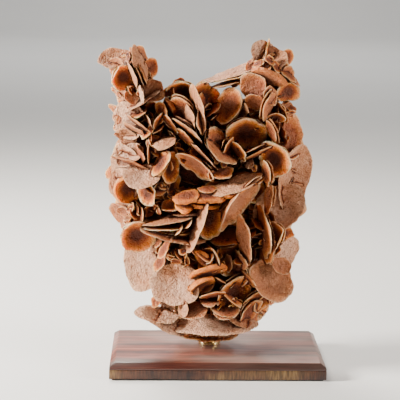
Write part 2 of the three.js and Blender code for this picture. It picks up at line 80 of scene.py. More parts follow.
# ---- the crystals ----
# Each blade is (x, y, z, radius, lean, roll, oval, crust), in mm and degrees.
# lean is the angle between its face and the front, 0 for face-on and 90 for edge-on.
# roll is the way in which the face tips, seen from the front: 0 right, 90 up, 180 left, 270 down.
# oval is the short radius as a share of the long one, which lies across the tip.
# crust is how much sand covers the face, from 0 for clean dark gypsum to 1 for a pale dusty face.
BLADES = {
    "left_horn": (
        (-91, -1, 276.5, 16.5, 50, 94, 0.8, 0.8),
        (-90, -4, 267, 10.5, 40, 200, 0.9, 0.7),
        (-84, -10, 260, 11.5, 25, 350, 0.95, 0),
        (-75, -20, 263, 12, 80, 201, 0.8, 0.8),
        (-71, -14, 264, 11.5, 84, 205, 0.8, 0.3),
        (-70, -8, 272.5, 16.5, 68, 20, 0.8, 0.8),
        (-68, 0, 274, 14, 65, 14, 0.8, 0.5),
        (-76, -4, 279, 9, 75, 195, 0.8, 0.6),
        (-61, 2, 268, 8.5, 25, 10, 0.95, 0.3),
        (-59, -10, 249, 12, 28, 110, 0.95, 0.7),
        (-66, -14, 241, 17, 82, 122, 0.6, 1),
        (-68, -22, 247, 8, 70, 188, 0.8, 1),
        (-77, -14, 243, 7, 30, 60, 0.95, 0.6),
        (-87, -4, 247, 8, 35, 190, 0.9, 0.8),
        (-80, -8, 222, 18, 35, 190, 0.95, 1),
        (-77, -18, 254, 4.5, 40, 90, 0.9, 0.6),
        (-82, -6, 208, 11, 40, 240, 0.9, 0.75),
        (-70, -20, 221, 13.5, 80, 231, 0.75, 0.6),
        (-72, -18, 216, 11.5, 72, 237, 0.75, 0.6),
        (-70, -20, 229, 8, 82, 115, 0.8, 0.3),
        (-61, -25, 223, 9, 78, 205, 0.8, 0.5),
        (-55, -25, 222, 9, 72, 340, 0.8, 0.4),
        (-53, -24, 216, 8, 80, 126, 0.8, 0.5),
        (-50, -12, 223, 6, 60, 5, 0.8, 0.3),
        (-60, -20, 210, 5, 70, 180, 0.8, 0.3),
        (-58, 0, 228, 13, 30, 330, 0.9, 0),
        (-51, -16, 232, 9, 45, 200, 0.85, 0.3),
        (-44, -20, 221, 10, 62, 212, 0.8, 0.3),
    ),
    "left_wing": (
        (-55, -20, 206, 8, 35, 60, 0.85, 0.2),
        (-48, -30, 205, 13, 75, 110, 0.75, 0.9),
        (-67, -26, 194, 9.5, 75, 197, 0.8, 0.5),
        (-62, -26, 194.5, 10, 85, 1, 0.75, 0.35),
        (-80, -14, 193, 14.5, 52, 120, 0.9, 1),
        (-77, -22, 187, 18.5, 76, 250, 0.7, 0.5),
        (-67, -30, 177, 16, 45, 100, 0.9, 1),
        (-83, -10, 183, 17, 30, 180, 0.95, 1),
        (-84, -10, 165, 16, 28, 190, 0.95, 0.9),
        (-63, -30, 161, 11, 35, 200, 0.9, 0.08),
        (-61, -33, 164, 7, 80, 60, 0.8, 0.3),
        (-51, -32, 188, 12.5, 65, 147, 0.8, 0.15),
        (-42, -24, 183, 14, 40, 0, 0.8, 0.1),
        (-50, -18, 196, 10, 60, 80, 0.9, 0.1),
        (-50, -20, 163, 11, 40, 330, 0.9, 0.1),
        (-42, -14, 165, 13, 30, 0, 0.9, 0),
    ),
    "left_waist": (
        (-87, -8, 140, 12, 40, 215, 0.9, 0.6),
        (-84, -14, 142, 8, 45, 230, 0.9, 0.5),
        (-78, -20, 146, 5, 50, 160, 0.8, 0.3),
        (-72, -22, 145, 5, 70, 190, 0.8, 0.3),
        (-75, -22, 141, 5, 60, 40, 0.8, 0.3),
        (-68, -24, 141, 6.5, 70, 180, 0.8, 0.3),
        (-61, -18, 144, 7, 40, 340, 0.9, 0.3),
        (-57, -24, 150, 6, 60, 220, 0.8, 0.3),
        (-53, -26, 146, 5, 60, 200, 0.8, 0.3),
        (-42, -26, 151, 9, 55, 100, 0.85, 0.35),
        (-71, -22, 121, 16.5, 20, 300, 0.95, 0),
        (-65, -10, 95, 22.5, 22, 170, 1, 1),
        (-43, -25, 138.5, 26, 86, 101, 0.75, 0.6),
        (-42, -30, 133, 22, 84, 97, 0.7, 0.1),
        (-40, -28, 129, 20, 84, 88, 0.7, 0.1),
        (-40, -25, 125, 28, 80, 79, 0.8, 0.55),
        (-27, -20, 143.5, 21, 88, 91, 0.75, 0.6),
        (-35, -44, 131, 8, 80, 145, 0.8, 0.3),
        (-28, -44, 135, 8, 82, 132, 0.8, 0.3),
        (-19, -40, 136, 29, 78, 160, 0.6, 0.8),
        (-7, -22, 138, 18, 35, 0, 0.9, 0),
        (-48, -34, 113, 10, 68, 150, 0.8, 0.3),
        (-42, -30, 109, 6, 60, 120, 0.8, 0.3),
        (-35, -30, 107, 6, 70, 40, 0.8, 0.3),
        (-28, -32, 104, 6, 60, 200, 0.8, 0.3),
        (-38, -30, 101, 6, 45, 270, 0.8, 0.3),
        (-22, -34, 112, 5, 60, 30, 0.8, 0.3),
        (-30, -14, 112, 20, 40, 300, 0.9, 0.1),
    ),
    "centre_stack": (
        (-22, -26, 157, 15, 70, 280, 0.8, 0.2),
        (-22, -30, 152, 8, 75, 90, 0.7, 0.3),
        (-10, -34, 166, 9, 70, 95, 0.8, 0.35),
        (12, -35, 170.5, 25, 66, 111, 0.5, 0.85),
        (18, -36, 154, 29, 58, 325, 0.52, 0.5),
        (-2, -24, 167, 10, 60, 90, 0.8, 0.35),
        (5, -8, 150, 18, 30, 10, 0.9, 0.1),
        (32, -8, 162, 12, 25, 20, 0.9, 0.05),
    ),
    "centre_spray": (
        (-22, -36, 186, 19.5, 58, 235, 0.7, 0.35),
        (-13, -38, 195, 17, 80, 224, 0.7, 0.5),
        (-11, -38, 188, 9, 80, 225, 0.8, 0.35),
        (-1, -36, 198, 17, 75, 51, 0.75, 0.5),
        (-6, -40, 195, 9.5, 75, 35, 0.8, 0.35),
        (2, -34, 181, 11, 60, 92, 0.85, 0.3),
        (-2, -24, 206, 12.5, 35, 35, 0.9, 0.3),
        (2, -30, 205, 7, 75, 340, 0.8, 0.3),
        (13, -14, 198, 10, 40, 20, 0.9, 0.15),
        (-31, -24, 210, 11, 60, 225, 0.8, 0.2),
        (-28, -28, 217, 17, 75, 230, 0.7, 0.4),
        (-28, -34, 222, 6, 75, 228, 0.8, 0.3),
        (-41, -22, 212, 6, 80, 220, 0.8, 0.3),
        (-45, -8, 247, 7, 35, 150, 0.9, 0.3),
        (-46, -12, 239, 6, 45, 330, 0.9, 0.3),
        (-46, -4, 226, 13, 35, 320, 0.9, 0.1),
    ),
    "crown": (
        (-14, -8, 242, 15, 25, 355, 0.95, 0.05),
        (-33, -8, 249, 13, 45, 262, 0.85, 0.05),
        (-35, -2, 256, 6, 40, 90, 0.8, 0.3),
        (-33, -20, 231, 16, 42, 215, 0.8, 0.3),
        (-20, -26, 233, 22, 70, 190, 0.7, 0.75),
        (-25, -34, 229, 13, 75, 193, 0.75, 0.7),
        (-18, -32, 224, 14, 75, 7, 0.75, 0.6),
        (-7, -16, 232, 11, 80, 128, 0.8, 0.4),
        (-18, -22, 236, 12, 72, 12, 0.75, 0.35),
    ),
    "right_shoulder": (
        (7, -15, 237, 17, 40, 150, 0.8, 0.3),
        (23, -18, 212, 19, 32, 285, 0.95, 0.12),
        (16, -27, 199, 11, 62, 215, 0.8, 0.15),
        (7, -27, 203, 10, 70, 330, 0.8, 0.3),
        (44, -28, 216, 11.5, 70, 203, 0.8, 0.4),
        (47, -26, 191, 16.5, 28, 210, 0.9, 0),
        (33, -24, 197, 17, 75, 297, 0.7, 0.3),
        (28, -30, 186, 5, 75, 150, 0.8, 1),
        (60, -8, 210, 21, 32, 22, 0.82, 0.35),
        (53, -12, 232, 11, 65, 211, 0.8, 0.3),
        (48, -18, 226, 9.5, 50, 270, 0.85, 0.2),
        (68, -9, 174, 30, 24, 348, 0.54, 0.85),
        (40, -32, 180, 11.5, 64, 188, 0.7, 0.3),
        (50, -6, 177, 9, 40, 330, 0.85, 0.1),
    ),
    "right_horn": (
        (43, -4, 276, 16, 40, 106, 0.9, 0.75),
        (12, -3, 265.5, 30, 78, 109, 0.42, 0.9),
        (12, -5, 262.5, 25, 82, 106, 0.42, 0.05),
        (13, -8, 257, 5.5, 40, 170, 0.9, 0.3),
        (15, -8, 263, 5, 50, 60, 0.8, 0.3),
        (33, -14, 274, 6, 60, 120, 0.8, 0.3),
        (42, -14, 276, 6, 60, 60, 0.8, 0.3),
        (38, -16, 271, 6, 50, 90, 0.8, 0.3),
        (27, -10, 272, 7, 45, 120, 0.8, 0.3),
        (49, -12, 271, 7, 55, 40, 0.8, 0.3),
        (26, -6, 275, 4, 60, 130, 0.8, 0.3),
        (29, -18, 252, 14.5, 24, 215, 0.9, 0.42),
        (30, -20, 241, 10, 35, 250, 0.9, 0.45),
        (59, -6, 262, 9.5, 40, 350, 0.85, 0.45),
        (59, -12, 262, 8.5, 75, 50, 0.8, 0.35),
        (63, -10, 258, 8, 75, 50, 0.8, 0.3),
        (59, -10, 248, 11, 22, 300, 0.95, 0.15),
        (43, -24, 247, 9.5, 40, 20, 0.85, 0.5),
        (42, -24, 239, 14, 62, 342, 0.8, 0.4),
        (23, -24, 236, 6.5, 72, 195, 0.8, 0.6),
        (32, -12, 238, 13, 30, 275, 0.9, 0.15),
        (60, -4, 233, 7.5, 35, 30, 0.85, 0.5),
        (64, -4, 233, 4.5, 60, 80, 0.8, 0.3),
    ),
    "right_flank": (
        (52, -16, 146, 24, 22, 130, 0.85, 0.95),
        (41, -34, 126, 24, 79, 186, 0.7, 0.4),
        (43, -28, 158, 13, 60, 170, 0.6, 0.45),
        (45, -34, 112, 15, 72, 185, 0.75, 0.3),
        (47, -26, 124, 13, 45, 180, 0.9, 0.05),
        (58, -18, 123, 10.5, 30, 290, 0.8, 0.15),
        (62, -12, 107, 14.5, 32, 350, 0.85, 1),
        (51, -28, 111, 5.5, 60, 140, 0.8, 0.3),
        (55, -26, 98, 10, 35, 60, 0.85, 0.6),
        (48, -27, 84, 21, 36, 65, 0.88, 0.6),
        (28, -38, 88, 13, 74, 216, 0.6, 0.35),
        (23.5, -39, 101, 11, 72, 197, 0.6, 0.45),
        (21.5, -36, 122, 22, 68, 190, 0.7, 0.5),
        (34, -12, 108, 20, 30, 340, 0.9, 0),
        (35, -30, 132, 7, 80, 75, 0.7, 0.3),
        (30, -30, 126, 6, 80, 130, 0.7, 0.3),
        (30, -20, 52, 14, 50, 330, 0.85, 0.3),
        (37, -20, 63, 16, 42, 300, 0.85, 0.25),
        (41, -14, 60, 11, 45, 320, 0.85, 0.3),
        (51, -12, 63, 8, 50, 330, 0.85, 0.3),
        (33, -10, 44, 9, 50, 350, 0.85, 0.4),
    ),
    "skirt": (
        (-38, -30, 80, 21, 20, 120, 0.95, 0.95),
        (-8, -36, 105, 12.5, 45, 200, 0.9, 0.1),
        (-12, -40, 108, 9, 70, 60, 0.8, 0.35),
        (-7, -42, 106, 8, 78, 155, 0.8, 0.3),
        (-31, -34, 60, 9, 62, 170, 0.9, 0.8),
        (-20, -32, 57, 14, 62, 105, 0.85, 0.6),
        (-5, -38, 73, 12, 60, 280, 0.75, 0.3),
        (-8, -38, 65, 10.5, 80, 95, 0.75, 0.5),
        (15, -28, 71, 19, 35, 330, 0.9, 0.1),
        (12, -36, 68, 14, 85, 53, 0.7, 0.3),
        (7, -34, 58, 12, 65, 85, 0.8, 0.45),
        (0, -24, 88, 12, 30, 0, 0.9, 0),
        (11, -22, 103, 16, 25, 20, 0.95, 0.22),
        (8, -22, 118, 17, 72, 95, 0.6, 0.3),
        (17, -25, 90, 13, 35, 210, 0.9, 0.2),
        (-56, -16, 60, 5, 40, 170, 0.9, 0.3),
        (-53, -20, 61, 4, 60, 150, 0.8, 0.3),
        (-54, -21, 50.5, 20, 67, 84, 0.6, 1),
        (-45, -14, 58, 10, 30, 180, 0.9, 0.95),
        (-46, -25, 45, 20.5, 60, 62, 0.6, 1),
        (-2, -24, 42, 39, 66, 92, 0.38, 1),
        (-6, -14, 35, 30, 75, 90, 0.5, 0.1),
        (-10, 2, 26, 26, 88, 268, 0.9, 0.2),
        (22, -22, 46, 14, 66, 70, 0.7, 0.7),
    ),
    "slabs": (
        (-79, -18, 164, 15, 30, 345, 0.95, 0),
        (-28, -38, 160, 12, 66, 98, 0.8, 0.22),
        (-31, -40, 150, 10.5, 74, 84, 0.8, 0.05),
        (-11, -38, 160, 16, 70, 93, 0.55, 0.2),
        (-14, -36, 152, 16, 78, 88, 0.5, 0.05),
        (9, -34, 165, 21, 76, 112, 0.5, 0.05),
        (41, -20, 263, 16.5, 64, 248, 0.7, 0.4),
        (-9, -34, 93, 17, 62, 285, 0.7, 0.15),
        (-15, -36, 80, 14.5, 58, 300, 0.75, 0.12),
        (-13, -36, 104, 11, 55, 220, 0.75, 0.2),
        (-52, -28, 187, 12, 62, 150, 0.7, 0.05),
        (-44, -14, 236, 9, 60, 210, 0.7, 0.4),
    ),
}

# Broad thick slabs in the middle of the stone, in the same form.
HEART = (
    (-8, 4, 42, 27, 4, 90, 0.6),
    (-8, 2, 70, 40, 4, 90, 0.75),
    (-8, 2, 104, 46, 4, 90, 0.75),
    (-12, 4, 140, 46, 4, 90, 0.75),
    (-58, 4, 100, 22, 4, 180, 0.9),
    (-69, 4, 148, 26, 4, 0, 0.8),
    (-26, 6, 180, 42, 4, 90, 0.75),
    (-66, 4, 200, 30, 4, 0, 0.7),
    (-24, 6, 220, 30, 4, 90, 0.95),
    (-76, 4, 240, 24, 4, 20, 0.6),
    (-76, 4, 264, 19, 4, 40, 0.8),
    (14, 6, 218, 25, 4, 90, 0.95),
    (46, 4, 212, 28, 4, 0, 0.8),
    (40, 4, 258, 24, 4, 90, 0.85),
    (64, 4, 172, 22, 4, 0, 0.7),
    (48, 2, 140, 28, 4, 0, 0.75),
    (42, 2, 96, 26, 4, 30, 0.85),
    (34, 4, 58, 18, 4, 30, 0.8),
)

# Rosettes on the back: (x, y, z, size, yaw, pitch). A yaw of 180 faces straight back.
BACK_ROSETTES = (
    (-80, 5, 262, 13, 195, 20),
    (-76, 7, 228, 18, 200, 10),
    (-74, 9, 186, 21, 200, 0),
    (-70, 9, 142, 21, 205, 5),
    (-58, 8, 98, 23, 200, -10),
    (-26, 7, 238, 18, 180, 20),
    (-24, 12, 202, 22, 185, 10),
    (-20, 14, 156, 26, 180, 0),
    (-16, 13, 110, 26, 175, 5),
    (-14, 11, 66, 25, 180, -15),
    (42, 6, 262, 17, 170, 15),
    (34, 9, 222, 21, 170, 5),
    (36, 12, 180, 23, 170, 0),
    (38, 12, 134, 23, 165, 5),
    (34, 11, 92, 22, 165, -10),
    (62, 6, 152, 17, 140, 0),
    (22, 9, 56, 17, 165, -20),
    (-10, 12, 42, 19, 185, -30),
)

# Hollows full of small blades: (x, z, half width, half height, foremost y, count).
UNDERGROWTH = (
    (-60, 216, 9, 11, -18, 14),
    (-50, 176, 12, 24, -24, 30),
    (-38, 208, 10, 14, -20, 16),
    (-6, 190, 18, 12, -30, 20),
    (24, 190, 12, 9, -18, 9),
    (6, 150, 14, 12, -20, 14),
    (-40, 108, 16, 12, -28, 22),
    (2, 84, 20, 22, -30, 32),
    (36, 120, 9, 18, -24, 18),
    (28, 64, 9, 7, -14, 5),
    (48, 236, 8, 8, -12, 5),
    (48, 216, 10, 12, -18, 9),
    (-14, 222, 12, 10, -22, 12),
    (-56, 144, 14, 8, -22, 14),
)

# Strewn small crystals: (x, y, z, spread, count, size).
CRUMBS = (
    (-74, -18, 142, 8, 14, 3.6),
    (-58, -22, 148, 6, 8, 3.4),
    (-36, -30, 104, 8, 14, 3.8),
    (-58, -16, 218, 9, 14, 3.6),
    (-74, -12, 250, 6, 9, 3.2),
    (42, -12, 270, 9, 9, 3.4),
    (30, -16, 226, 7, 8, 3.4),
    (-30, -24, 198, 8, 10, 3.6),
    (0, -30, 184, 9, 12, 3.4),
    (28, -28, 178, 7, 8, 3.2),
    (44, -24, 118, 7, 8, 3.4),
    (-4, -32, 100, 8, 12, 3.6),
    (10, -30, 62, 10, 14, 3.6),
    (-26, -26, 70, 8, 10, 3.4),
    (34, -12, 50, 7, 4, 3.4),
    (-44, -28, 160, 8, 10, 3.6),
    (62, -10, 236, 7, 8, 3.2),
)

HEART_DEPTH = 6  # the y that the front blades reach back to
EDGE_ON = 70  # a blade leaning more than this reaches back itself, and the others have a root
SISTER_RADIUS = 11  # a blade larger than this has a second one close behind it
CUP_LIMIT = 60  # up to this lean a blade's hollow side is turned to the front
MASTER_SIZES = ((18, 56, 12), (9, 36, 10), (5, 20, 8), (0, 12, 6))  # least radius, segments, rings
ROSETTE_FAN = (  # a rosette's blades: share forward, across, along, of radius, fan and tilt angles
    (0.30, -0.42, 0.05, 0.78, -26, 4),
    (0.42, -0.12, -0.10, 0.90, -9, -6),
    (0.36, 0.20, 0.12, 0.84, 12, 8),
    (0.26, 0.48, -0.05, 0.66, 31, -4),
    (0.30, -0.30, 0.45, 0.50, 70, 20),
    (0.34, 0.28, -0.42, 0.46, 98, -14),
    (0.52, 0.05, 0.30, 0.36, 50, 30),
)

SEAM_GROWTH = 10  # blades across the rim of every heart slab
BACK_GROWTH = 11  # loose blades round every rosette on the back
BACKWARDS = Matrix.Scale(-1, 3, (0, 1, 0))

LENS = 1.8  # how the face falls to the rim: a sharp-edged lens
TABLET = 0.85  # a flatter face with a steeper rim band
SLAB = 0.3  # flat faces and a blunt thick edge
# A slab's rim stops at the painted amber glow, short of the painted highlight line.
SLAB_RIM = 0.76  # a slab's edge is amber right across, without the pale line
STOUT = 1.7  # how much thicker a slab is, in mm
ROUND = 6.3  # a whole turn in radians, rounded up
WAVES = (2, 3, 5, 7)  # how many times each ripple of an outline goes in and out
WAVE_HEIGHT = 0.09  # the highest ripple, as a share of the radius
LARGE = 15  # a blade larger than this is chipped less
LARGE_CHIPS = (0.95, 3)  # where the deepest chip ends, as a share of the radius, and how many
SMALL_CHIPS = (0.74, 5)
SHALLOWEST_CHIP = 1.15  # past 1 a chip misses the blade
LEANING_CUP = 0.04  # the cup of a blade past the limit
ROOT_START = 0.3  # how deep in the blade its root begins, as a share of the thickness
ROOT_SIZE = 0.62  # a root's radius as a share of its blade's
SEAM_RADIUS = (8, 13)
OVALS = (0.7, 0.95)
PIN_PLAY = 0.3 * MM  # between the pin and the holes round it
LEAF_LEAN = 55  # a blade leaning more than this is a lens, and the others are tablets

# Outline bumps of the master blades: (angle, pull of the rim, reach of the pull).
MASTERS = (
    ("broad", ((20, 1.10, 0.7), (95, 0.90, 0.5), (160, 1.08, 0.6), (250, 0.93, 0.7))),
    ("lobed", ((0, 1.06, 0.5), (60, 0.88, 0.4), (130, 1.10, 0.5), (215, 0.90, 0.4), (300, 1.08, 0.5))),
    ("notched", ((40, 0.84, 0.35), (110, 1.08, 0.6), (190, 1.05, 0.5), (275, 0.86, 0.35))),
    ("egg", ((0, 1.14, 0.9), (180, 0.94, 0.8), (70, 0.95, 0.4), (235, 1.05, 0.4))),
)

rad = math.radians


def deselect():
    """Object mode with nothing selected."""
    if bpy.context.object and bpy.context.object.mode != "OBJECT":
        bpy.ops.object.mode_set(mode="OBJECT")
    bpy.ops.object.select_all(action="DESELECT")


def choose(*objects):
    """Selects these objects alone, and makes the first one active."""
    deselect()
    for chosen in objects:
        chosen.select_set(True)
    bpy.context.view_layer.objects.active = objects[0]


def select_points(mesh, wanted):
    """Edit mode with the vertices selected whose place passes the test."""
    bpy.ops.object.mode_set(mode="EDIT")
    bpy.ops.mesh.select_mode(type="VERT")
    bpy.ops.mesh.select_all(action="DESELECT")
    bpy.ops.object.mode_set(mode="OBJECT")
    for vertex in mesh.vertices:
        vertex.select = wanted(vertex.co)
    bpy.ops.object.mode_set(mode="EDIT")


def select_faces(mesh, wanted):
    """Edit mode with the faces selected whose middle and normal pass the test."""
    bpy.ops.object.mode_set(mode="EDIT")
    bpy.ops.mesh.select_mode(type="FACE")
    bpy.ops.mesh.select_all(action="DESELECT")
    bpy.ops.object.mode_set(mode="OBJECT")
    for face in mesh.polygons:
        face.select = wanted(face.center, face.normal)
    bpy.ops.object.mode_set(mode="EDIT")


def apply_modifier(piece, kind, **settings):
    """Adds a modifier with these settings and applies it."""
    choose(piece)
    modifier = piece.modifiers.new(kind.title(), kind)
    for name, value in settings.items():
        setattr(modifier, name, value)
    bpy.ops.object.modifier_apply(modifier=modifier.name)


def place_at_origin(piece):
    """Puts the object's place, turn and size into its mesh."""
    choose(piece)
    bpy.ops.object.transform_apply(location=True, rotation=True, scale=True)


def finish_piece(piece, name, node_names, material):
    """Names a piece, gives it its material, and ties it to the frame."""
    piece.name = name
    piece.data.name = name
    piece.data.materials.clear()
    piece.data.materials.append(material)
    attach(piece, "root")
    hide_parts(*node_names)


# ---- materials ----
def linear(colour):
    """An sRGB hex value, or an sRGB colour from a property, as a linear colour."""
    if isinstance(colour, int):
        colour = [(colour >> shift & 255) / 255 for shift in (16, 8, 0)]
    return [c / 12.92 if c <= 0.04045 else ((c + 0.055) / 1.055) ** 2.4 for c in colour] + [1]


def srgb(value):
    """An sRGB hex value as a colour property's default."""
    return [(value >> shift & 255) / 255 for shift in (16, 8, 0)]


def add(tree, kind, inputs=None, stops=None, **settings):
    """Adds a node with its settings, its input values or links, and a ramp's stops."""
    made = tree.nodes.new(kind)
    for name, value in settings.items():
        setattr(made, name, value)
    for socket, value in (inputs or {}).items():
        if isinstance(value, bpy.types.NodeSocket):
            tree.links.new(value, made.inputs[socket])
        else:
            made.inputs[socket].default_value = value
    if stops:
        elements = made.color_ramp.elements
        while len(elements) < len(stops):
            elements.new(0.5)
        for element, (position, colour) in zip(elements, stops):
            element.position = position
            element.color = linear(colour)
    return made


def new_material(name):
    """An empty node material: its tree and its surface node."""
    material = bpy.data.materials.new(name)
    material.use_nodes = True
    tree = material.node_tree
    tree.nodes.clear()
    surface = add(tree, "ShaderNodeBsdfPrincipled")
    add(tree, "ShaderNodeOutputMaterial", {"Surface": surface.outputs[0]})
    return material, tree, surface


COLOUR_A, COLOUR_B, COLOUR_OUT = 6, 7, 2  # a Mix node's colour sockets


def mix_colour(tree, factor, first, second, blend="MIX"):
    """Two colours mixed by a factor."""
    inputs = {0: factor, COLOUR_A: first, COLOUR_B: second}
    made = add(tree, "ShaderNodeMix", inputs, data_type="RGBA", blend_type=blend)
    return made.outputs[COLOUR_OUT]


def compute(tree, operation, *values):
    """The result of one sum."""
    return add(tree, "ShaderNodeMath", dict(enumerate(values)), operation=operation).outputs[0]


def remap(tree, value, low=0, high=1, new_low=0, new_high=1):
    """The value moved from one range to another and held inside it."""
    ends = {"From Min": low, "From Max": high, "To Min": new_low, "To Max": new_high}
    return add(tree, "ShaderNodeMapRange", {"Value": value, **ends}).outputs[0]


def ramp(tree, factor, *stops):
    """The colour that a factor picks from a row of (place, colour) stops."""
    return add(tree, "ShaderNodeValToRGB", {"Fac": factor}, stops).outputs[0]


def clouds(tree, place, scale, detail, distortion=0):
    """Soft noise between 0 and 1."""
    inputs = {"Vector": place, "Scale": scale, "Detail": detail, "Distortion": distortion}
    return add(tree, "ShaderNodeTexNoise", inputs).outputs["Fac"]


def stretched(tree, place, scale, shift=(0, 0, 0)):
    """The place scaled differently on each axis, for grain."""
    inputs = {"Vector": place, "Scale": scale, "Location": shift}
    return add(tree, "ShaderNodeMapping", inputs).outputs[0]


def bumped(tree, height, strength, distance, **under):
    """A surface normal tipped by a height. The distance is in mm."""
    inputs = {"Height": height, "Strength": strength, "Distance": distance * MM, **under}
    return add(tree, "ShaderNodeBump", inputs).outputs[0]


def finish_surface(tree, surface, links, values):
    """Joins the named inputs of the surface to their nodes, and sets the others."""
    for name, output in links.items():
        tree.links.new(output, surface.inputs[name])
    for name, value in values.items():
        surface.inputs[name].default_value = value


def sandy_gypsum(settings):
    """Gypsum full of quartz sand: dull grainy faces, and amber light in the thin clean rims, partly
    painted into the colour and partly from light under the surface.
    """
    material, tree, surface = new_material("sandy_gypsum")
    place = add(tree, "ShaderNodeTexCoord").outputs["Object"]
    rim = add(tree, "ShaderNodeAttribute", attribute_name="rim").outputs["Fac"]
    crust = add(tree, "ShaderNodeAttribute", attribute_name="crust").outputs["Fac"]

    # Dark clean gypsum, orange sand and pale dust, with clouds of stain 20 mm across.
    stain = clouds(tree, place, 1 / (20 * MM), 5)
    stained = compute(tree, "MULTIPLY_ADD", stain, 0.7, crust)
    stained = compute(tree, "MULTIPLY_ADD", stained, 0.8, -0.13)
    dusty = ramp(
        tree, stained,
        (0.1, 0x421A0C), (0.38, 0x9E5430), (0.62, 0xBC7C54), (0.82, 0xCA8E66), (0.97, 0xE0B190),
    )

    # A clean blade is amber-brown gypsum with painted light on it: painted shade darkens its middle, a
    # painted amber glow of light through the thin rim grows towards the rim, and a painted highlight makes
    # the very edge pale.
    patches = clouds(tree, place, 1 / (6 * MM), 3)
    ragged = compute(tree, "MULTIPLY_ADD", patches, 0.24, rim)
    ragged = compute(tree, "SUBTRACT", ragged, 0.12)
    clean_shade_and_glow = ramp(
        tree, ragged,
        (0.3, 0x52240F), (0.56, 0xA04C1A), (0.76, 0xEE8C30), (0.9, 0xFFB46C), (0.99, 0xFADCB4),
    )

    # The dust thins out towards the rims of the cleaner blades, baring their painted glow and painted
    # highlight.
    dust = remap(tree, crust, high=0.5, new_high=0.92)
    bare_rim = remap(tree, ragged, low=0.6, high=0.95)
    lasting = remap(tree, crust, high=0.8, new_low=0.25)
    kept = mix_colour(tree, bare_rim, (1, 1, 1, 1), lasting)
    cover = compute(tree, "MULTIPLY", dust, kept)
    covered = mix_colour(tree, cover, clean_shade_and_glow, dusty)
    # Painted highlight: a pale line painted along the very edge of every blade.
    edge = remap(tree, rim, low=0.94, new_high=0.7)
    edge_highlighted = mix_colour(tree, edge, covered, linear(settings.edge_highlight_colour))

    # Single sand grains, drawn 1.2 mm across so that they show.
    cells = {"Vector": place, "Scale": 1 / (1.2 * MM), "Randomness": 1}
    grains = add(tree, "ShaderNodeTexVoronoi", cells).outputs
    speckle = ramp(tree, grains["Color"], (0.0, 0x7A5C4A), (0.35, 0xD8CABE), (1.0, 0xFFFFFF))
    grainy = mix_colour(tree, 0.5, edge_highlighted, speckle, "MULTIPLY")

    # Pits where sand has fallen out of the dusty faces.
    pits = ramp(tree, clouds(tree, place, 1 / (2.6 * MM), 3), (0.33, 0x9A6644), (0.45, 0xFFFFFF))
    pitted = mix_colour(tree, crust, grainy, mix_colour(tree, 0.6, grainy, pits, "MULTIPLY"))

    # Painted shade: the hollows between the blades, found by ambient occlusion, are painted dark
    # red-brown, which also stands for the red-brown sand that lies there.
    reach = {"Distance": 14 * MM}
    open_air = add(tree, "ShaderNodeAmbientOcclusion", reach, samples=8, only_local=True)
    hollow = ramp(tree, open_air.outputs["AO"], (0.12, 0xFFFFFF), (0.62, 0x000000))
    whole = mix_colour(tree, hollow, pitted, linear(settings.hollow_shade_colour))

    coarse = bumped(tree, clouds(tree, place, 1 / (3.5 * MM), 5), 1.0, 3.0)
    fine = bumped(tree, grains["Distance"], 0.8, 1.1, Normal=coarse)

    # Light gets into the thin rims where they are bare.
    thin = remap(tree, rim, low=0.45, high=0.85, new_high=0.85)
    bare = remap(tree, crust, new_low=1.0, new_high=0.05)
    glow = compute(tree, "MULTIPLY", thin, bare)
    finish_surface(
        tree,
        surface,
        {"Base Color": whole, "Normal": fine, "Subsurface Weight": glow},
        {
            "Roughness": 0.6,
            "Specular IOR Level": 0.3,
            "IOR": 1.52,
            "Subsurface Radius": (1.0, 0.6, 0.35),
            "Subsurface Scale": 3.5 * MM,
        },
    )
    return material


def polished_rosewood():
    """Oiled rosewood, grain along the board: red-brown with dark pore streaks and a satin polish, with a
    painted sheen on the top and painted shade on the front edge.
    """
    material, tree, surface = new_material("polished_rosewood")
    place = add(tree, "ShaderNodeTexCoord").outputs["Object"]
    along = stretched(tree, place, (7, 120, 120), (0.3, 0, 0))
    wood = ramp(
        tree, clouds(tree, along, 1, 6, 0.6),
        (0.26, 0x2A1512), (0.4, 0x522C24), (0.5, 0x7A4434), (0.6, 0x945040), (0.74, 0xB88C78),
    )
    pores = clouds(tree, stretched(tree, place, (60, 1800, 1800)), 1, 2)
    streaks = ramp(tree, pores, (0.34, 0x5A463C), (0.52, 0xFFFFFF))
    grained = mix_colour(tree, 0.6, wood, streaks, "MULTIPLY")

    # Painted sheen: pale grey patches stand for the sheen of the satin polish, and red ones, where it is
    # not, are the wood's own tone.
    sheen_and_wear = clouds(tree, stretched(tree, place, (11, 26, 26), (0.2, 0.4, 0)), 1, 3)
    painted_sheen = remap(tree, sheen_and_wear, low=0.42, high=0.68, new_high=0.5)
    with_painted_sheen = mix_colour(tree, painted_sheen, grained, linear(0xA8988C))
    shine = remap(tree, sheen_and_wear, low=0.4, high=0.3, new_high=0.6)
    patchy = mix_colour(tree, shine, with_painted_sheen, linear(0xA04C2C))

    # Painted shade: the front edge is drawn darker than the top.
    depth = add(tree, "ShaderNodeSeparateXYZ", {"Vector": place}).outputs["Y"]
    front = remap(tree, depth, low=-50.5 * MM, high=-49.5 * MM, new_low=0.85, new_high=0)
    whole = mix_colour(tree, front, patchy, linear(0x4A2A1E), "MULTIPLY")
    finish_surface(
        tree,
        surface,
        {"Base Color": whole, "Normal": bumped(tree, pores, 0.25, 0.15)},
        {"Roughness": 0.38, "Coat Weight": 0.35, "Coat Roughness": 0.25},
    )
    return material


